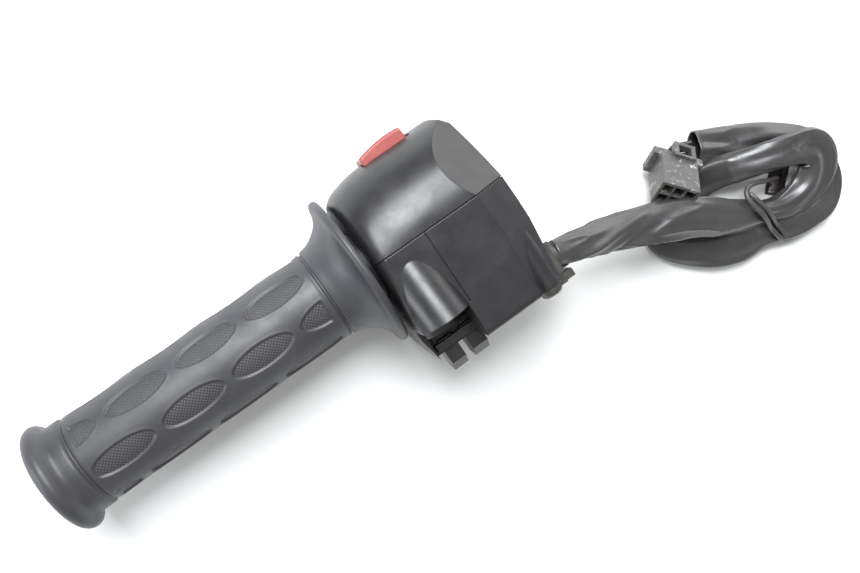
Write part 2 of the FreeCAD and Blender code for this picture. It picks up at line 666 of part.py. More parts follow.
def switch_screws():
    """Two small screws through the carrier's ears."""
    y = KILL_PIVOT_Y + 8.4
    screws = []
    for side in (-8, 8):
        head = rod(1.9, (KILL_X + side, y, 11.2), (KILL_X + side, y + 1.3, 11.2))
        shank = rod(0.95, (KILL_X + side, y - 6.0, 11.2), (KILL_X + side, y, 11.2))
        slot = box((KILL_X + side - 3, KILL_X + side + 3), (y + 0.7, y + 2), (10.9, 11.5))
        screws.append(head.fuse(shank).cut(slot))
    return Part.makeCompound(screws)


def starter_button():
    """Push button with a dished face, a retaining flange and a stem."""
    x, z = START_X, START_Z
    cap = rod(START_R, (x, START_FACE_Y, z), (x, -22.4, z))
    cap = round_edges(cap, 0.7, lambda e: e.CenterOfMass.y < START_FACE_Y + 0.01)
    dish = Part.makeSphere(24.0, V(x, START_FACE_Y - 23.3, z))
    stem = rod(1.8, (x, -22.4, z), (x, -17.4, z))
    return cap.cut(dish).fuse(stem)


def starter_case():
    """Cup that guides the button's stem and holds its spring."""
    x, z = START_X, START_Z
    cup = rod(6.2, (x, -16.9, z), (x, -9.4, z))
    room = rod(4.9, (x, -21, z), (x, -11.0, z))
    return cup.cut(room)


def starter_spring():
    """Compression spring between the button and the cup's floor."""
    wire_r = 0.3
    coil_r = 3.4
    per_turn = 8
    steps = 5 * per_turn
    start = -21.7
    end = -11.7
    points = []
    for i in range(steps + 1):
        angle = 2 * math.pi * i / per_turn
        points.append((START_X + coil_r * math.cos(angle), start + (end - start) * i / steps,
                       START_Z + coil_r * math.sin(angle)))
    return tube_along(points, wire_r)[0]


def starter_contacts():
    """Two fixed contacts inside the cup."""
    x, z = START_X, START_Z
    return Part.makeCompound([box((x + side - 0.6, x + side + 0.6), (-14.0, -11.0), (z - 1.2, z + 1.2))
                              for side in (-1.7, 1.7)])


def starter_bridge():
    """Moving contact disc on the stem's end."""
    return rod(2.4, (START_X, -17.4, START_Z), (START_X, -16.8, START_Z))


def switch_wires():
    """Four wires from the switches over the bar to the grommet."""
    wires = []
    for i in range(4):
        off = i * 2.1
        route = [(-24.5 - off, -14.4, 11.1), (-24.5 - off, -8.0, 17.0), (-25.0 - off, 4.0, 19.5),
                 (-26.0 - off, 16.0, 16.0), (-29.0 - off, 25.0, 9.0), (-38.0 - off, 32.0, 5.8),
                 (-50.5, 34.8, 5.8 - i * 1.9)]
        wires.append(tube_along(route, WIRE_R)[0])
    return Part.makeCompound(wires)


# ---------------------------------------------------------------- harness

def harness_grommet():
    """Rubber grommet: outer plate, a plug in the wall, a neck for the sleeve and two side lugs."""
    plate = box((-57.0, -54.5), (28.6, 41.0), (-6.6, 11.4))
    plate = round_edges(plate, 0.6, lambda e: e.BoundBox.XMax < -56.9)
    through = box((-54.7, -50.0), (29.8, 39.8), (-4.4, 9.4))
    neck = rod(CORD_R - 0.3, (-56.8, 35, 3.0), CORD_ROUTE[0])
    tail = box((-58.6, -55.2), (40.6, 46.8), (-6.0, 1.4))
    lugs = [box((-62.4, -56.8), y, (-5.6, 1.0)) for y in ((38.9, 42.0), (43.4, 46.4))]
    inside = rod(3.9, (-60.0, 35, 3.0), (-49.0, 35, 3.0))
    return plate.fuse([through, neck, tail] + lugs).cut(inside).removeSplitter()


def harness_sleeve():
    """The harness's outer sleeve as a plain round tube along its whole route."""
    tube, length, radii = tube_along(CORD_ROUTE, CORD_R)
    expected = math.pi * CORD_R ** 2 * length
    print("sleeve length %.1f, volume ratio %.4f" % (length, tube.Volume / expected))
    print("sleeve radii " + " ".join("%.1f" % r for r in radii))
    return tube


def harness_wires():
    """Wires between the sleeve's end and the plug."""
    wires = []
    for across, up in WIRE_OFFSETS:
        route = []
        for x, y, z in WIRE_ROUTE:
            route.append((x + 0.4 * across, y + 0.9 * across, z + up))
        wires.append(tube_along(route, WIRE_R)[0])
    return Part.makeCompound(wires)


def plug_placement():
    """Placement whose X, Y and Z are the plug's width, length and depth."""
    along = V(PLUG_ALONG).normalize()
    depth = PLUG_ACROSS.cross(along).normalize()
    across = along.cross(depth)
    matrix = FreeCAD.Matrix(across.x, along.x, depth.x, PLUG_CORNER.x,
                            across.y, along.y, depth.y, PLUG_CORNER.y,
                            across.z, along.z, depth.z, PLUG_CORNER.z, 0, 0, 0, 1)
    return FreeCAD.Placement(matrix)


def cavity_centres():
    """Centres of the plug's cavities across its mouth."""
    pitch_x = (PLUG_SIZE[0] - 1.6) / PLUG_WAYS[0]
    pitch_z = (PLUG_SIZE[2] - 1.6) / PLUG_WAYS[1]
    for i in range(PLUG_WAYS[0]):
        for j in range(PLUG_WAYS[1]):
            yield 0.8 + (i + 0.5) * pitch_x, 0.8 + (j + 0.5) * pitch_z


def connector_body():
    """Plug housing with its cavities, side flanges and a square latch loop."""
    width, length, depth = PLUG_SIZE
    body = box((0, width), (-length, 0), (0, depth))
    body = round_edges(body, 0.5, lambda e: e.BoundBox.YLength > length - 1)
    collar = box((-2.6, width + 2.6), (-length - PLUG_COLLAR, -length), (0.8, depth - 0.4))
    collar = round_edges(collar, 0.8, lambda e: e.BoundBox.ZLength > depth - 2)
    loop = box((5.2, 14.0), (-length - 7.4, -length + 0.3), (-1.6, 0.9))
    loop = loop.cut(box((7.0, 12.2), (-length - 5.8, -length - 0.9), (-3.0, 2.0)))
    solid = body.fuse([collar, loop])
    cuts = []
    half_x = CAVITY[0] / 2
    half_z = CAVITY[1] / 2
    for x, z in cavity_centres():
        cuts.append(box((x - half_x, x + half_x), (-CAVITY_DEPTH, 1), (z - half_z, z + half_z)))
        cuts.append(rod(WIRE_R + 0.1, (x, -length - 5, z), (x, -CAVITY_DEPTH, z)))
    solid = solid.cut(cuts).removeSplitter()
    solid.Placement = plug_placement()
    return solid


def connector_terminals():
    """Six box terminals inside the plug, open towards its mouth."""
    terminals = []
    for x, z in cavity_centres():
        sleeve = box((x - 1.5, x + 1.5), (-CAVITY_DEPTH + 0.1, -2.2), (z - 1.2, z + 1.2))
        slot = box((x - 1.1, x + 1.1), (-CAVITY_DEPTH + 3, 0), (z - 0.8, z + 0.8))
        terminals.append(sleeve.cut(slot))
    group = Part.makeCompound(terminals)
    group.Placement = plug_placement()
    return group


def bundle_tie():
    """Coated wire tie: a long ring round two stretches of the sleeve."""
    upper = V(-142.0, 69.4, -18.6)
    lower = V(-145.4, 83.9, -21.3)
    across = V(lower.x - upper.x, lower.y - upper.y, 0).normalize()
    far = (lower - upper).dot(across)
    drop = lower.z - upper.z
    corners = [(-5.5, 8.1), (-10.9, 2.3), (-6.2, -7.0),
               (far + 4.0, drop - 7.0), (far + 9.9, drop), (far + 4.0, drop + 7.3)]
    middle = ((corners[-1][0] + corners[0][0]) / 2, (corners[-1][1] + corners[0][1]) / 2 + 0.4)
    loop = [middle] + corners + [middle]
    points = []
    for s, z in loop:
        spot = upper + across * s + V(0, 0, z)
        points.append((spot.x, spot.y, spot.z))
    points[-1] = (points[-1][0] + 2.2, points[-1][1], points[-1][2])
    return tube_along(points, TIE_R)[0]


def tie_strap():
    """Dark strap end lying inside the loop."""
    strap = box((-4.0, 4.0), (-6.5, 6.5), (0, 1.1))
    strap = round_edges(strap, 0.4, lambda e: e.BoundBox.ZMin > 1.0)
    strap.Placement = FreeCAD.Placement(V(-165.2, 69.3, FLOOR_Z + 0.1), FreeCAD.Rotation(Z_AXIS, -41.0))
    return strap


# ---------------------------------------------------------------- assembly

def main():
    """Build and write every sub-part."""
    export("housing_front", housing_front())
    export("housing_rear", housing_rear())
    export("housing_screws", housing_screws())
    export("grip_rubber", grip_rubber())
    export("throttle_tube", throttle_tube())
    export("thrust_washer", thrust_washer())
    export("kill_rocker", kill_rocker())
    export("kill_switch_base", kill_base())
    export("kill_pivot_pin", kill_pin())
    export("kill_contacts", kill_contacts())
    export("kill_bridge", kill_bridge())
    export("kill_detent_leaf", kill_leaf())
    export("switch_screws", switch_screws())
    export("starter_button", starter_button())
    export("starter_switch_case", starter_case())
    export("starter_spring", starter_spring())
    export("starter_contacts", starter_contacts())
    export("starter_bridge", starter_bridge())
    export("switch_wires", switch_wires())
    export("harness_grommet", harness_grommet())
    export("harness_sleeve", harness_sleeve())
    export("harness_wires", harness_wires())
    export("connector_body", connector_body())
    export("connector_terminals", connector_terminals())
    export("bundle_tie", bundle_tie())
    export("tie_strap", tie_strap())


main()
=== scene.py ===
"""Looks of a scooter's throttle grip with its switch housing and harness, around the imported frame."""
import math
import bpy
import numpy as np
from mathutils import Matrix, Vector, noise


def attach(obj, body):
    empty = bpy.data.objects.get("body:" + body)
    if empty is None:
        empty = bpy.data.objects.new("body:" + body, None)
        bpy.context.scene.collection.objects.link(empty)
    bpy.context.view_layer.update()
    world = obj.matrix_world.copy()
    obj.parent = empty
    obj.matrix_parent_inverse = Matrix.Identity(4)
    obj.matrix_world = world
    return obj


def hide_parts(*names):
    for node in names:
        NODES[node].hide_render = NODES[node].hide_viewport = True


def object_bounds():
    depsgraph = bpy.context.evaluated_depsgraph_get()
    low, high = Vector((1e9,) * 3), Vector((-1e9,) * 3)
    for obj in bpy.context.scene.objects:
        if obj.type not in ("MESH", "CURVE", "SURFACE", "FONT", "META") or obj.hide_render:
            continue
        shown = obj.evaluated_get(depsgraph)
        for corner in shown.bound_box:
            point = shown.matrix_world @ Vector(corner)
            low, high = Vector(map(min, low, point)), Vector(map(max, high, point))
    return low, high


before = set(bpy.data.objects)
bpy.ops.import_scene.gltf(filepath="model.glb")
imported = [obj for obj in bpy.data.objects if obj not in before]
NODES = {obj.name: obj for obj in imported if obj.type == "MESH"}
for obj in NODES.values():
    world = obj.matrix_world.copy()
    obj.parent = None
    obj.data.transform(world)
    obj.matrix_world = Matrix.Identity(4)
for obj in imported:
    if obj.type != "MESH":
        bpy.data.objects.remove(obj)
CAD_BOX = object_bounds()
MM = 0.001
FLOOR_Z = CAD_BOX[0].z


# ---------------------------------------------------------------- small helpers

def linear(colour):
    """Linear colour from a display colour of 0 to 255."""
    out = []
    for c in colour:
        c /= 255.0
        out.append(c / 12.92 if c <= 0.04045 else ((c + 0.055) / 1.055) ** 2.4)
    return (*out, 1.0)


def lighter(colour, amount):
    """Display colour lightened by a number of its 255 steps."""
    return tuple(min(255, c + amount) for c in colour)


def mesh_object(name, points, faces, smooth=True):
    """Mesh object from points in metres."""
    data = bpy.data.meshes.new(name)
    data.from_pydata([tuple(p) for p in points], [], faces)
    data.update()
    data.polygons.foreach_set("use_smooth", [smooth] * len(data.polygons))
    piece = bpy.data.objects.new(name, data)
    bpy.context.scene.collection.objects.link(piece)
    return piece


def smoothstep(low, high, value):
    """Smooth rise from 0 at low to 1 at high."""
    t = np.clip((value - low) / (high - low), 0.0, 1.0)
    return t * t * (3 - 2 * t)


# ---------------------------------------------------------------- materials

class Nodes:
    """Short way to build one material's nodes."""

    def __init__(self, name):
        self.material = bpy.data.materials.new(name)
        self.material.use_nodes = True
        self.tree = self.material.node_tree
        self.shader = self.tree.nodes["Principled BSDF"]
        self.coords = self.new("ShaderNodeTexCoord").outputs["Object"]

    def new(self, kind, **settings):
        node = self.tree.nodes.new(kind)
        for key, value in settings.items():
            setattr(node, key, value)
        return node

    def link(self, source, target):
        self.tree.links.new(source, target)

    def stretch(self, scale, turn):
        """Coordinates turned by degrees and stretched."""
        node = self.new("ShaderNodeMapping")
        node.inputs["Rotation"].default_value = [math.radians(a) for a in turn]
        node.inputs["Scale"].default_value = scale
        self.link(self.coords, node.inputs["Vector"])
        return node.outputs["Vector"]

    def noise(self, scale, detail=3.0, rough=0.55, source=None, distortion=0.0):
        node = self.new("ShaderNodeTexNoise")
        node.inputs["Scale"].default_value = scale
        node.inputs["Detail"].default_value = detail
        node.inputs["Roughness"].default_value = rough
        node.inputs["Distortion"].default_value = distortion
        self.link(source or self.coords, node.inputs["Vector"])
        return node.outputs["Fac"]

    def cells(self, scale):
        """Distance to the nearest cell centre."""
        node = self.new("ShaderNodeTexVoronoi")
        node.inputs["Scale"].default_value = scale
        self.link(self.coords, node.inputs["Vector"])
        return node.outputs["Distance"]

    def span(self, value, low, high, out_low=0.0, out_high=1.0):
        """Value remapped and clamped."""
        node = self.new("ShaderNodeMapRange", interpolation_type="SMOOTHSTEP")
        for key, number in zip(("From Min", "From Max", "To Min", "To Max"), (low, high, out_low, out_high)):
            node.inputs[key].default_value = number
        self.link(value, node.inputs["Value"])
        return node.outputs["Result"]

    def maths(self, operation, a, b=None):
        node = self.new("ShaderNodeMath", operation=operation)
        for slot, value in zip(node.inputs, (a, b)):
            if value is None:
                continue
            if isinstance(value, (int, float)):
                slot.default_value = value
            else:
                self.link(value, slot)
        return node.outputs["Value"]

    def mix(self, factor, a, b):
        """Colour mixed between two colours or sockets."""
        node = self.new("ShaderNodeMix", data_type="RGBA")
        sockets = [s for s in node.inputs if s.type == "RGBA"]
        for slot, value in zip(sockets, (a, b)):
            if isinstance(value, tuple):
                slot.default_value = value
            else:
                self.link(value, slot)
        if isinstance(factor, (int, float)):
            node.inputs[0].default_value = factor
        else:
            self.link(factor, node.inputs[0])
        return [s for s in node.outputs if s.type == "RGBA"][0]

    def bump(self, height, distance, strength=1.0, normal=None):
        node = self.new("ShaderNodeBump")
        node.inputs["Strength"].default_value = strength
        node.inputs["Distance"].default_value = distance
        self.link(height, node.inputs["Height"])
        if normal is not None:
            self.link(normal, node.inputs["Normal"])
        return node.outputs["Normal"]


SCRATCH_TURNS = (20.0, 75.0, 130.0)
SCRATCH_LIFT = 60


def moulded(name, dark, light, rough, grain=0.012, metallic=0.0, specular=0.5, dust=None,
            dust_at=(0.62, 0.78), dust_scale=90.0, scratch=0.0, edge=0.0):
    """Plastic, rubber or metal with tone drift, grain, dust in patches, scratches and soft edges.

    Grain and edge are in millimetres; dark, light and dust are display colours.
    """
    n = Nodes(name)
    drift = n.span(n.noise(45.0, 4.0, 0.6), 0.3, 0.72)
    speck = n.span(n.noise(1600.0, 2.0, 0.6), 0.35, 0.75)
    colour = n.mix(n.maths("ADD", n.maths("MULTIPLY", drift, 0.75), n.maths("MULTIPLY", speck, 0.25)),
                   linear(dark), linear(light))
    roughness = n.span(n.noise(140.0, 4.0, 0.6), 0.3, 0.75, rough - 0.05, rough + 0.07)
    if dust is not None:
        patch = n.span(n.noise(dust_scale, 6.0, 0.68, distortion=0.6), *dust_at)
        patch = n.maths("MULTIPLY", patch, n.span(n.noise(900.0, 3.0, 0.7), 0.35, 0.62, 0.35, 1.0))
        colour = n.mix(patch, colour, linear(dust))
        roughness = n.maths("MAXIMUM", roughness, n.maths("MULTIPLY", patch, 0.85))
    height = n.noise(2600.0, 3.0, 0.6)
    if scratch:
        for turn in SCRATCH_TURNS:
            streak = n.noise(160.0, 2.0, 0.5, n.stretch((1.0, 26.0, 26.0), (0, 0, turn)))
            line = n.maths("MULTIPLY", n.span(streak, 0.70, 0.73), scratch)
            colour = n.mix(line, colour, linear(lighter(light, SCRATCH_LIFT)))
            height = n.maths("SUBTRACT", height, line)
    n.link(colour, n.shader.inputs["Base Color"])
    n.link(roughness, n.shader.inputs["Roughness"])
    soft = None
    if edge:
        rounded = n.new("ShaderNodeBevel", samples=6)
        rounded.inputs["Radius"].default_value = edge * MM
        soft = rounded.outputs["Normal"]
    n.link(n.bump(height, grain * MM, normal=soft), n.shader.inputs["Normal"])
    n.shader.inputs["Metallic"].default_value = metallic
    n.shader.inputs["Specular IOR Level"].default_value = specular
    return n


HOUSING = moulded("housing_plastic", (27, 27, 29), (35, 35, 37), 0.35, grain=0.010, specular=0.56,
                  dust=(92, 88, 84), dust_at=(0.70, 0.95), scratch=0.10, edge=0.55).material
RUBBER = moulded("grip_rubber_skin", (50, 50, 53), (62, 62, 66), 0.46, grain=0.02, specular=0.55,
                 dust=(104, 103, 104), dust_at=(0.60, 0.95)).material
# its dust patches are a pale pink: part dust, part painted sheen on the red
RED = moulded("red_button", (140, 56, 52), (154, 66, 60), 0.40, grain=0.008, dust=(190, 124, 116),
              dust_at=(0.58, 0.9), edge=0.6).material
INNER = moulded("inner_plastic", (34, 34, 36), (46, 46, 48), 0.48).material
NATURAL = moulded("natural_nylon", (190, 184, 168), (206, 200, 186), 0.42).material
STEEL = moulded("zinc_steel", (82, 80, 76), (128, 126, 120), 0.36, metallic=1.0, dust=(70, 62, 52),
                dust_at=(0.55, 0.8), dust_scale=420.0, edge=0.3).material
BRASS = moulded("brass", (84, 66, 38), (112, 90, 56), 0.40, metallic=1.0, dust=(96, 56, 36),
                dust_at=(0.52, 0.72), dust_scale=500.0).material
PLUG = moulded("plug_nylon", (62, 61, 61), (80, 79, 79), 0.46, dust=(184, 182, 176), dust_at=(0.54, 0.70),
               dust_scale=300.0, scratch=0.25, edge=0.5).material
GROMMET = moulded("grommet_rubber", (46, 44, 42), (64, 61, 58), 0.58, dust=(104, 96, 88),
                  dust_at=(0.54, 0.80), dust_scale=200.0, edge=0.4).material
VINYL = moulded("sleeve_vinyl", (46, 46, 47), (60, 59, 60), 0.33, grain=0.008, specular=0.75,
                dust=(142, 134, 124), dust_at=(0.60, 0.95), dust_scale=55.0, scratch=0.04).material
STRAP = moulded("strap_vinyl", (34, 30, 28), (58, 50, 46), 0.30, dust=(110, 92, 78), dust_at=(0.50, 0.75),
                dust_scale=240.0).material
COATED = moulded("tie_coating", (52, 50, 50), (68, 66, 65), 0.34, specular=0.6).material
WIRE = moulded("wire_black", (34, 34, 36), (48, 48, 50), 0.42).material

NODE_MATERIALS = {
    "housing_front": HOUSING, "housing_rear": HOUSING, "grip_rubber": RUBBER, "throttle_tube": INNER,
    "kill_rocker": RED, "kill_switch_base": INNER, "starter_button": INNER, "starter_switch_case": INNER,
    "thrust_washer": NATURAL, "housing_screws": STEEL, "switch_screws": STEEL, "kill_pivot_pin": STEEL,
    "kill_contacts": BRASS, "kill_bridge": BRASS, "kill_detent_leaf": STEEL, "starter_spring": STEEL,
    "starter_contacts": BRASS, "starter_bridge": BRASS, "switch_wires": WIRE, "harness_grommet": GROMMET,
    "harness_sleeve": VINYL, "harness_wires": WIRE, "connector_body": PLUG, "connector_terminals": BRASS,
    "bundle_tie": COATED, "tie_strap": STRAP,
}
for node_name, node in NODES.items():
    for slot in node.material_slots:
        slot.material = NODE_MATERIALS[node_name]


# ---------------------------------------------------------------- camera, lights, floor

def add_camera():
    """Camera looking down on the part, as for a catalogue picture."""
    right = Vector((-0.80910, 0.56151, 0.17339))
    up = Vector((-0.57387, -0.81849, -0.02731))
    back = Vector((0.12658, -0.12160, 0.98448))
    data = bpy.data.cameras.new("camera")
    data.sensor_width = 36.0
    data.lens = 38.69
    data.clip_start = 0.01
    data.clip_end = 20.0
    camera = bpy.data.objects.new("camera", data)
    bpy.context.scene.collection.objects.link(camera)
    turn = Matrix((right, up, back)).transposed().to_4x4()
    place = Vector((26.207, -20.962, 324.962)) * MM
    camera.matrix_world = Matrix.Translation(place) @ turn
    bpy.context.scene.camera = camera


LIGHT_DISTANCE = 1.1
LIGHT_TARGET = Vector((-0.03, 0.02, 0.0))


def softbox(name, direction, size, power, colour=(1, 1, 1)):
    """Rectangular area light aimed at the middle of the part."""
    data = bpy.data.lights.new(name, "AREA")
    data.shape = "RECTANGLE"
    data.size, data.size_y = size
    data.energy = power
    data.color = colour
    lamp = bpy.data.objects.new(name, data)
    bpy.context.scene.collection.objects.link(lamp)
    way = Vector(direction).normalized()
    lamp.location = LIGHT_TARGET + way * LIGHT_DISTANCE
    lamp.rotation_mode = "QUATERNION"
    lamp.rotation_quaternion = way.to_track_quat("Z", "Y")


def add_lights():
    """A broad soft light from the rear, a panel at each end, and a bright room."""
    softbox("key", (-0.05, -0.52, 0.84), (0.50, 0.70), 22.0, (0.96, 0.98, 1.0))
    softbox("side", (0.93, -0.31, 0.25), (0.50, 0.50), 5.2, (0.90, 0.94, 1.0))
    softbox("inboard", (-0.90, -0.45, 0.25), (0.80, 0.60), 4.5)
    world = bpy.data.worlds.new("room")
    world.use_nodes = True
    background = world.node_tree.nodes["Background"]
    background.inputs["Color"].default_value = (1.0, 1.0, 1.0, 1.0)
    background.inputs["Strength"].default_value = 0.54
    bpy.context.scene.world = world
    bpy.context.scene.view_settings.view_transform = "Standard"


TABLE_HALF = 3.0


def add_floor():
    """Pale table top with a few specks."""
    half = TABLE_HALF
    n = Nodes("table_top")
    tone = n.span(n.noise(6.0, 3.0, 0.5), 0.3, 0.7)
    colour = n.mix(tone, linear((232, 233, 232)), linear((238, 239, 238)))
    spot = n.maths("LESS_THAN", n.cells(38.0), 0.028)
    rare = n.span(n.noise(17.0, 1.0, 0.5), 0.55, 0.60)
    fleck = n.maths("MULTIPLY", n.maths("MULTIPLY", spot, rare), 0.55)
    colour = n.mix(fleck, colour, linear((120, 116, 110)))
    n.link(colour, n.shader.inputs["Base Color"])
    n.shader.inputs["Roughness"].default_value = 0.55
    n.shader.inputs["Specular IOR Level"].default_value = 0.25
    corners = [(x, y, FLOOR_Z) for x, y in ((-half, -half), (half, -half), (half, half), (-half, half))]
    floor = mesh_object("table", corners, [(0, 1, 2, 3)], smooth=False)
    floor.data.materials.append(n.material)


# ---------------------------------------------------------------- grip

SLEEVE_R = 16.5
RING_X = 17.2
COLLAR_X = 112.7
OVAL_ROWS = 7
OVAL_PITCH = 27.1
OVAL_FIRST_X = 18.1
OVAL_ROW_ANGLE = 230.1
OVALS_IN_ROW = 5
OVAL_HALF_LONG = 11.9
OVAL_HALF_WIDE = 4.4
OVAL_DEPTH = 0.75
# smooth stretch of the rubber that the ovals stay off, at the ring and at the collar
OVAL_MARGINS = (2.2, 2.4)
OVAL_END_SOFT = 0.8
OVAL_RIM = 0.06
HATCH_PITCH = 0.92
HATCH_DEPTH = 0.09
GRIP_STEPS = 384
# closed outline of the rubber: x, radius, rows to the next point
GRIP_OUTLINE = [
    (126.0, 13.2, 3), (2.6, 13.2, 3), (2.6, 25.0, 2), (1.3, 26.2, 1), (1.05, 27.6, 2), (1.15, 28.4, 1),
    (1.6, 28.95, 1), (2.3, 29.2, 1), (3.1, 29.1, 1), (3.8, 28.6, 1), (4.15, 27.8, 1), (4.35, 26.6, 2),
    (4.8, 24.9, 2), (5.7, 23.0, 2), (7.0, 21.3, 2), (8.8, 19.7, 2), (10.8, 18.5, 2), (13.0, 17.6, 2),
    (15.2, 17.15, 1), (15.75, 17.0, 1), (15.95, 16.55, 1), (16.0, 16.2, 1), (16.5, 16.15, 1),
    (16.75, 16.3, 1), (17.0, 16.7, 1), (17.4, 16.78, 1), (18.0, 16.6, 1), (18.6, 16.5, 312),
    (111.6, 16.5, 1), (112.0, 16.3, 1), (112.3, 15.85, 1), (112.9, 15.7, 1), (113.3, 15.95, 1),
    (113.5, 16.6, 1), (113.9, 16.9, 2), (115.6, 16.95, 2), (117.8, 16.9, 1), (118.8, 17.0, 1),
    (119.5, 17.35, 1), (120.1, 18.1, 1), (120.7, 19.0, 1), (121.5, 19.75, 1), (122.6, 20.15, 1),
    (123.7, 20.05, 1), (124.8, 19.6, 1), (125.7, 18.8, 1), (126.4, 17.6, 1), (126.75, 16.2, 1),
    (126.8, 14.6, 1), (126.6, 13.7, 1),
]


def oval_distance(x, angle):
    """Distance in millimetres outside the nearest recessed oval; below zero is inside it."""
    nearest = np.full(np.broadcast(x, angle).shape, 99.0)
    for row in range(OVAL_ROWS):
        centre_angle = math.radians(OVAL_ROW_ANGLE - row * 360.0 / OVAL_ROWS)
        across = (angle - centre_angle + math.pi) % (2 * math.pi) - math.pi
        v = across * SLEEVE_R
        for step in range(OVALS_IN_ROW):
            centre = OVAL_FIRST_X + OVAL_PITCH / 2 * (1 - row % 2) + step * OVAL_PITCH
            if centre > COLLAR_X + OVAL_HALF_LONG / 2:
                continue
            u = x - centre
            q = np.sqrt((u / OVAL_HALF_LONG) ** 2 + (v / OVAL_HALF_WIDE) ** 2) + 1e-6
            slope = np.sqrt((u / OVAL_HALF_LONG ** 2) ** 2 + (v / OVAL_HALF_WIDE ** 2) ** 2) + 1e-6
            nearest = np.minimum(nearest, q * (q - 1) / slope)
    ends = np.maximum(RING_X + OVAL_MARGINS[0] - x, x - (COLLAR_X - OVAL_MARGINS[1]))
    h = np.clip(0.5 + 0.5 * (nearest - ends) / OVAL_END_SOFT, 0, 1)
    return ends * (1 - h) + nearest * h + OVAL_END_SOFT * h * (1 - h)


def build_grip():
    """Rubber grip as one closed surface of turned rows, with the ovals pressed in."""
    rows = []
    outline = GRIP_OUTLINE + GRIP_OUTLINE[:1]
    for (x0, r0, count), (x1, r1, _) in zip(outline, outline[1:]):
        for i in range(count):
            t = i / count
            rows.append((x0 + (x1 - x0) * t, r0 + (r1 - r0) * t))
    rows = np.array(rows)
    angles = np.arange(GRIP_STEPS) * 2 * math.pi / GRIP_STEPS
    x = rows[:, 0][:, None] + 0 * angles[None, :]
    radius = rows[:, 1][:, None] + 0 * angles[None, :]
    angle = 0 * x + angles[None, :]
    distance = oval_distance(x, angle)
    on_sleeve = (np.abs(rows[:, 1] - SLEEVE_R) < 0.01)[:, None]
    depth = OVAL_DEPTH * (1 - smoothstep(-0.42, 0.10, distance)) * on_sleeve
    rim = OVAL_RIM * np.exp(-((distance - 0.45) / 0.35) ** 2) * on_sleeve
    radius = radius - depth + rim
    points = np.stack([x, radius * np.cos(angle), radius * np.sin(angle)], -1) * MM
    total = len(rows)
    faces = []
    hatched = []
    mask = (distance < -0.30) & on_sleeve
    for i in range(total):
        k = (i + 1) % total
        for j in range(GRIP_STEPS):
            m = (j + 1) % GRIP_STEPS
            faces.append((i * GRIP_STEPS + j, i * GRIP_STEPS + m, k * GRIP_STEPS + m, k * GRIP_STEPS + j))
            hatched.append(1 if mask[i, j] and mask[k, m] else 0)
    grip = mesh_object("grip_skin", points.reshape(-1, 3), faces)
    grip.data.materials.append(RUBBER)
    grip.data.materials.append(hatched_rubber())
    grip.data.polygons.foreach_set("material_index", hatched)
    lay_uv(grip, np.stack([x, angle * SLEEVE_R], -1).reshape(-1, 2), 2 * math.pi * SLEEVE_R)
    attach(grip, "throttle")
    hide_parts("grip_rubber")
    return grip


def lay_uv(piece, flat, wrap):
    """UV map in millimetres from one pair per vertex; the seam's faces are unwrapped."""
    data = piece.data
    layer = data.uv_layers.new(name="skin")
    index = np.empty(len(data.loops), np.int32)
    data.loops.foreach_get("vertex_index", index)
    uv = flat[index].reshape(-1, 4, 2)
    seam = (uv[:, :, 1].max(1) - uv[:, :, 1].min(1)) > wrap / 2
    uv[seam, :, 1] = np.where(uv[seam, :, 1] < wrap / 2, uv[seam, :, 1] + wrap, uv[seam, :, 1])
    layer.data.foreach_set("uv", uv.reshape(-1).astype(np.float32))


def hatched_rubber():
    """The grip's rubber with a fine diamond hatch, its valleys darkened with painted shade."""
    n = moulded("grip_rubber_hatch", (56, 56, 58), (68, 68, 71), 0.56, grain=0.02, dust=(120, 118, 118),
                dust_at=(0.54, 0.9), dust_scale=160.0)
    uv = n.new("ShaderNodeUVMap", uv_map="skin").outputs["UV"]
    split = n.new("ShaderNodeSeparateXYZ")
    n.link(uv, split.inputs["Vector"])
    turns = 2 * math.pi / HATCH_PITCH / 1.5
    u = n.maths("MULTIPLY", split.outputs["X"], turns)
    v = n.maths("MULTIPLY", split.outputs["Y"], turns)
    first = n.maths("SINE", n.maths("ADD", u, v))
    second = n.maths("SINE", n.maths("SUBTRACT", u, v))
    pyramid = n.maths("MULTIPLY", n.maths("ADD", first, second), 0.5)
    old = n.shader.inputs["Normal"].links[0].from_socket
    n.link(n.bump(pyramid, HATCH_DEPTH * MM, 0.8, old), n.shader.inputs["Normal"])
    old_colour = n.shader.inputs["Base Color"].links[0].from_socket
    # the hatch's low points are mixed toward a darker grey: painted shade in the valleys
    painted_valley_shade = n.span(pyramid, -0.8, 0.6)
    n.link(n.mix(painted_valley_shade, linear((46, 46, 48)), old_colour), n.shader.inputs["Base Color"])
    return n.material


# ---------------------------------------------------------------- harness

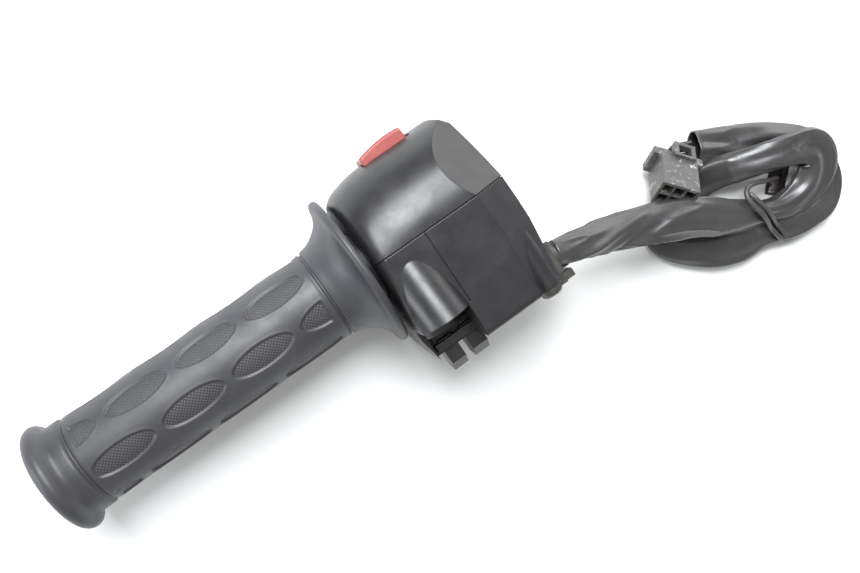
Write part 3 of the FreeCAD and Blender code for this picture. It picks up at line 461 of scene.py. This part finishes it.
CORD_ROUTE = [
    (-59.4, 35.0, 3.0), (-66.5, 37.0, 2.2), (-75.5, 40.5, -1.4), (-87.0, 44.4, -5.0),
    (-101.4, 49.8, -7.4), (-117.4, 57.4, -8.6), (-132.4, 68.0, -14.6), (-145.5, 75.3, -19.8),
    (-155.6, 79.3, -21.0), (-166.6, 79.4, -20.0), (-174.2, 75.2, -17.8), (-178.0, 68.2, -15.6),
    (-175.0, 62.8, -13.8), (-166.1, 59.2, -13.2), (-157.2, 56.4, -14.2), (-147.8, 53.4, -17.5),
    (-140.2, 51.2, -22.0), (-130.8, 51.6, -26.4), (-121.0, 52.6, -27.0), (-112.0, 54.0, -27.0),
    (-107.0, 59.2, -26.5), (-109.8, 65.4, -26.0), (-116.8, 70.8, -26.0), (-126.3, 77.0, -26.0),
    (-136.5, 80.8, -26.0), (-146.7, 83.6, -26.0), (-158.0, 88.6, -26.0), (-167.7, 90.2, -26.0),
    (-175.4, 88.0, -26.0), (-182.4, 81.6, -26.0), (-184.6, 74.2, -26.0), (-182.6, 65.6, -26.0),
    (-178.0, 60.2, -26.0), (-171.4, 55.4, -26.0), (-164.2, 51.1, -25.5), (-156.2, 47.2, -25.2),
    (-147.6, 42.7, -24.5), (-137.8, 37.8, -21.8),
]


def spline_points(route, resolution=24):
    """Points along the route's smooth line, in metres."""
    data = bpy.data.curves.new("route_line", "CURVE")
    data.dimensions = "3D"
    data.resolution_u = resolution
    spline = data.splines.new("NURBS")
    spline.points.add(len(route) - 1)
    for point, place in zip(spline.points, route):
        point.co = (*[c * MM for c in place], 1.0)
    spline.order_u = 3
    spline.use_endpoint_u = True
    holder = bpy.data.objects.new("route_line", data)
    bpy.context.scene.collection.objects.link(holder)
    bpy.context.view_layer.update()
    line = bpy.data.meshes.new_from_object(holder)
    points = np.array([v.co[:] for v in line.vertices])
    bpy.data.objects.remove(holder)
    bpy.data.meshes.remove(line)
    return points


def even_points(points, step):
    """Points a fixed step apart along a line, their share of its own count, and how far along they lie."""
    gaps = np.linalg.norm(np.diff(points, axis=0), axis=1)
    along = np.concatenate([[0], np.cumsum(gaps)])
    wanted = np.linspace(0, along[-1], int(along[-1] / step) + 1)
    spots = np.stack([np.interp(wanted, along, points[:, k]) for k in range(3)], 1)
    share = np.interp(wanted, along, np.linspace(0, 1, len(points)))
    return spots, share, wanted


def line_frames(spots):
    """Sideways and upward directions along a line that mostly lies flat."""
    tangent = np.gradient(spots, axis=0)
    tangent /= np.linalg.norm(tangent, axis=1)[:, None]
    side = np.cross(tangent, np.array([0, 0, 1.0]))
    side /= np.linalg.norm(side, axis=1)[:, None]
    above = np.cross(side, tangent)
    return side, above


# shape of the flattened sleeve at points of the route:
# index, half width, half thickness, turn in degrees
SLEEVE_SHAPE = [
    (0.0, 4.7, 4.3, 0.0), (1.0, 5.4, 4.6, 0.0), (2.0, 6.8, 4.9, 0.0), (3.0, 7.4, 5.1, 0.0),
    (4.0, 7.6, 5.1, 0.0), (5.0, 7.4, 4.9, 0.0), (6.0, 6.4, 4.5, -8.0), (7.0, 4.9, 4.3, -18.0),
    (8.0, 6.8, 4.1, -22.0), (9.0, 8.2, 3.9, -16.0), (10.0, 9.0, 3.8, -8.0), (11.0, 8.8, 3.9, 0.0),
    (12.0, 7.2, 4.3, 16.0), (13.0, 6.4, 4.3, 24.0), (14.0, 5.8, 4.2, 14.0), (15.0, 6.2, 3.8, 0.0),
    (16.0, 6.6, 2.9, 0.0), (17.0, 6.8, 2.2, 0.0), (18.0, 6.8, 2.1, 0.0), (19.0, 6.8, 2.2, 0.0),
    (20.0, 6.8, 2.8, 0.0), (21.0, 7.4, 3.6, 0.0), (22.0, 8.2, 4.0, 0.0), (23.0, 8.8, 4.0, 6.0),
    (24.0, 8.4, 4.0, 6.0), (25.0, 6.6, 4.1, 0.0), (26.0, 6.6, 4.1, 0.0), (27.0, 6.0, 4.1, -10.0),
    (28.0, 6.2, 4.0, -16.0), (30.0, 6.2, 3.8, -10.0), (32.0, 6.4, 3.9, 0.0), (34.0, 7.2, 3.9, 8.0),
    (36.0, 7.2, 4.0, 4.0), (37.0, 6.6, 4.0, 0.0),
]
# long folds pressed into the sleeve: start and end along it in mm, start and end angle round it
# in degrees (0 is its front side, 90 its top), height in mm and half width in degrees
SLEEVE_FOLDS = [
    (-6, 44, -20, 150, 1.5, 16), (-4, 56, -60, 108, -1.7, 24), (-4, 40, -64, 14, 0.9, 16),
    (98, 150, 128, 104, 1.3, 17), (112, 156, 62, 76, -1.3, 26), (132, 170, 152, 122, 1.2, 17),
    (138, 176, 70, 92, -1.1, 26), (150, 188, 172, 142, 1.0, 16), (172, 214, 60, 40, 1.3, 20),
    (176, 220, 104, 90, -1.2, 28), (236, 284, 104, 122, 1.3, 17), (234, 290, 62, 76, -1.4, 28),
    (242, 298, 150, 142, 0.7, 20), (286, 320, 58, 84, 1.2, 17), (294, 334, 106, 124, -1.1, 28),
    (318, 354, 68, 92, 1.2, 17), (334, 386, 132, 92, 1.2, 17), (338, 390, 84, 52, -1.3, 28),
]
SLEEVE_STEPS = 72
SLEEVE_STEP = 0.6
SLEEVE_WALL = 0.55
MOUTH_RINGS = 14
# the lowest strand is set down on the table where its middle lies under this height
RESTING_Z = -23.5
REST_GAP = 0.15


def fold_height(s, degrees):
    """Height of the long folds at one place along the sleeve, for an array of angles."""
    height = np.zeros(len(degrees))
    for start, end, first, last, size, half in SLEEVE_FOLDS:
        if not start < s < end:
            continue
        t = (s - start) / (end - start)
        strength = size * math.sin(math.pi * min(max(t, 0.0), 1.0)) ** 0.6
        middle = first + (last - first) * t + 7.0 * math.sin(s / 9.0 + start)
        gap = (degrees - middle + 180.0) % 360.0 - 180.0
        height += strength * np.exp(-(gap / half) ** 2)
    return height


def build_sleeve():
    """Flattened vinyl sleeve with long folds along the route."""
    line = spline_points(CORD_ROUTE)
    spots, share, along = even_points(line, SLEEVE_STEP * MM)
    side, above = line_frames(spots)
    keys = np.array(SLEEVE_SHAPE)
    index = share * (len(CORD_ROUTE) - 1)
    wide, thick, turn = [smooth_keys(index, keys[:, 0], keys[:, k]) for k in range(1, 4)]
    angle = np.arange(SLEEVE_STEPS) * 2 * math.pi / SLEEVE_STEPS
    degrees = np.degrees(angle)
    rings = []
    lifts = []
    for i in range(len(spots)):
        s = along[i] / MM
        c = np.cos(angle)
        w = np.sin(angle)
        flat_x = wide[i] * c
        flat_y = thick[i] * w
        lump = np.array([noise.noise((s / 34.0, a * 0.9, b * 0.9 + 3.0)) for a, b in zip(c, w)])
        fold = np.array([noise.noise((s / 52.0 + 9.0, a * 1.1 + 4.0, b * 1.1)) for a, b in zip(c, w)])
        swell = 0.5 * lump + 0.45 * ((1 - np.abs(fold)) ** 5 - 0.4)
        swell = swell * (thick[i] / 3.6) ** 3 + fold_height(s, degrees)
        swell *= min(1.0, s / 8.0, (along[-1] / MM - s) / 3.0 + 0.3)
        normal_x = c / wide[i]
        normal_y = w / thick[i]
        size = np.sqrt(normal_x ** 2 + normal_y ** 2)
        flat_x = flat_x + swell * normal_x / size
        flat_y = flat_y + swell * normal_y / size
        t = math.radians(turn[i])
        across = flat_x * math.cos(t) - flat_y * math.sin(t)
        height = flat_x * math.sin(t) + flat_y * math.cos(t)
        gap = (spots[i][2] - FLOOR_Z) / MM + height.min()
        resting = spots[i][2] / MM < RESTING_Z or gap < REST_GAP
        lifts.append(REST_GAP - gap if resting else 0.0)
        rings.append((across, height))
    lifts = np.convolve(np.pad(lifts, 15, mode="edge"), np.ones(31) / 31, "valid")
    points = []
    for i, (across, height) in enumerate(rings):
        gap = (spots[i][2] - FLOOR_Z) / MM + height.min() + lifts[i]
        rise = lifts[i] + max(0.0, 0.1 - gap)
        middle = spots[i] + np.array([0, 0, rise * MM])
        points.append(middle + (side[i] * across[:, None] + above[i] * height[:, None]) * MM)
    sleeve = tube_mesh("harness_sleeve_skin", points, SLEEVE_STEPS, SLEEVE_WALL)
    sleeve.data.materials.append(VINYL)
    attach(sleeve, "housing")
    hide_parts("harness_sleeve")
    return sleeve, spots


TIE_R = 1.0
# doubled wire of the tie: over the first stretch, round the outer one and back to its end on the strap
TIE_LINE = [
    (-160.5, 67.6, -20.5), (-156.0, 66.0, -17.6), (-150.5, 63.4, -15.0), (-145.4, 61.4, -12.8),
    (-141.4, 62.0, -11.4), (-139.9, 65.0, -10.6), (-140.4, 68.6, -10.2), (-141.9, 73.2, -10.6),
    (-143.6, 77.8, -13.8), (-145.4, 82.0, -18.4), (-147.2, 86.4, -20.4), (-148.9, 90.0, -22.6),
    (-149.7, 91.4, -25.2), (-150.6, 90.2, -27.6), (-150.8, 87.4, -28.6),
]
TIE_RETURN = [
    (-150.9, 88.4, -21.4), (-150.0, 86.2, -20.4), (-148.4, 81.8, -18.6), (-146.4, 77.6, -14.0),
    (-144.6, 73.2, -10.9), (-143.2, 68.6, -10.2), (-142.4, 65.4, -10.6), (-142.2, 63.6, -11.6),
]


def round_wire(route, radius, steps=14, step=0.35):
    """Rings of points for a round wire along a smooth line."""
    spots = even_points(spline_points(route), step * MM)[0]
    side, above = line_frames(spots)
    angle = np.arange(steps) * 2 * math.pi / steps
    taper = np.minimum(1.0, np.minimum(np.arange(len(spots)), np.arange(len(spots))[::-1]) * 0.3 + 0.55)
    c = np.cos(angle)[:, None]
    w = np.sin(angle)[:, None]
    return [spots[i] + (side[i] * c + above[i] * w) * radius * taper[i] * MM for i in range(len(spots))]


def solid_wire(name, route, radius):
    """Closed solid wire along a route."""
    rings = round_wire(route, radius)
    steps = len(rings[0])
    points = np.concatenate(rings + [[rings[0].mean(0), rings[-1].mean(0)]])
    faces = []
    for i in range(len(rings) - 1):
        for j in range(steps):
            m = (j + 1) % steps
            faces.append((i * steps + j, i * steps + m, (i + 1) * steps + m, (i + 1) * steps + j))
    base = (len(rings) - 1) * steps
    first = len(points) - 2
    for j in range(steps):
        m = (j + 1) % steps
        faces.append((first, m, j))
        faces.append((first + 1, base + j, base + m))
    return mesh_object(name, points, faces)


STRAP_MIDDLE = Vector((-165.2, 69.3, 0))
STRAP_ALONG = Vector((0.656, 0.755, 0))
STRAP_ACROSS = Vector((0.755, -0.656, 0))
STRAP_HALF_LONG = 7.6
STRAP_HALF_WIDE = 4.1
STRAP_THICK = 0.75
STRAP_ARCH = 1.35


def build_strap():
    """Dark strap lying on the table inside the loop, slightly arched across its width."""
    long_steps = 36
    wide_steps = 20
    points = []
    for under in (0, 1):
        for i in range(long_steps + 1):
            t = -1 + 2 * i / long_steps
            for k in range(wide_steps + 1):
                u = -1 + 2 * k / wide_steps
                arch = STRAP_ARCH * (1 - u * u) + 0.35 * math.sin(t * 2.6) * (1 - u * u)
                top = arch + 0.25 * noise.noise((t * 3, u * 2, 1))
                z = FLOOR_Z / MM + 0.12 + max(0.0, top) + (0.0 if under else STRAP_THICK)
                spot = STRAP_MIDDLE + STRAP_ALONG * (t * STRAP_HALF_LONG)
                spot = spot + STRAP_ACROSS * (u * STRAP_HALF_WIDE + 0.5 * math.sin(t * 1.7))
                points.append((spot.x * MM, spot.y * MM, z * MM))
    row = wide_steps + 1
    sheet = (long_steps + 1) * row
    faces = []
    for i in range(long_steps):
        for k in range(wide_steps):
            a = i * row + k
            faces.append((a, a + 1, a + row + 1, a + row))
            faces.append((sheet + a, sheet + a + row, sheet + a + row + 1, sheet + a + 1))
    rim = list(range(row))
    rim += [i * row + wide_steps for i in range(1, long_steps + 1)]
    rim += [long_steps * row + k for k in range(wide_steps - 1, -1, -1)]
    rim += [i * row for i in range(long_steps - 1, 0, -1)]
    for a, b in zip(rim, rim[1:] + rim[:1]):
        faces.append((a, sheet + a, sheet + b, b))
    strap = mesh_object("strap_band", points, faces)
    strap.data.materials.append(STRAP)
    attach(strap, "housing")
    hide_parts("tie_strap")
    return strap


def build_tie():
    """Coated wire tie, doubled where it crosses the sleeve."""
    pieces = []
    for name, route in (("tie_wire", TIE_LINE), ("tie_wire_return", TIE_RETURN)):
        piece = solid_wire(name, route, TIE_R)
        piece.data.materials.append(COATED)
        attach(piece, "housing")
        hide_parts("bundle_tie")
        pieces.append(piece)
    return pieces


def smooth_keys(index, places, values):
    """Smooth curve through keyed values."""
    out = np.empty(len(index))
    for n, i in enumerate(index):
        k = min(max(int(np.searchsorted(places, i, "right")) - 1, 0), len(places) - 2)
        t = (i - places[k]) / (places[k + 1] - places[k])
        t = min(max(t, 0.0), 1.0)
        before = values[max(k - 1, 0)]
        after = values[min(k + 2, len(values) - 1)]
        a, b = values[k], values[k + 1]
        gap = places[k + 1] - places[k]
        left = (b - before) / (places[k + 1] - places[max(k - 1, 0)]) * gap
        right = (after - a) / (places[min(k + 2, len(values) - 1)] - places[k]) * gap
        out[n] = ((2 * t ** 3 - 3 * t ** 2 + 1) * a + (t ** 3 - 2 * t ** 2 + t) * left
                  + (-2 * t ** 3 + 3 * t ** 2) * b + (t ** 3 - t ** 2) * right)
    return out


def tube_mesh(name, rings, steps, wall):
    """Closed tube from rings of points, hollow for a short way at its far end."""
    outer = [np.asarray(r) for r in rings]
    inner_rings = []
    for k in range(MOUTH_RINGS):
        ring = outer[-1 - k]
        centre = ring.mean(0)
        way = ring - centre
        size = np.linalg.norm(way, axis=1)[:, None]
        inner_rings.append(centre + way * (1 - wall * MM / size))
    all_rings = outer + inner_rings
    points = np.concatenate(all_rings)
    faces = []
    for i in range(len(all_rings) - 1):
        for j in range(steps):
            m = (j + 1) % steps
            faces.append((i * steps + j, i * steps + m, (i + 1) * steps + m, (i + 1) * steps + j))
    first = len(points)
    start_centre = outer[0].mean(0)
    end_centre = inner_rings[-1].mean(0)
    points = np.concatenate([points, [start_centre, end_centre]])
    base = (len(all_rings) - 1) * steps
    for j in range(steps):
        m = (j + 1) % steps
        faces.append((first, m, j))
        faces.append((first + 1, base + j, base + m))
    return mesh_object(name, points, faces)


add_camera()
add_lights()
add_floor()
build_grip()
sleeve, sleeve_line = build_sleeve()
loose_pieces = build_tie() + [build_strap()]
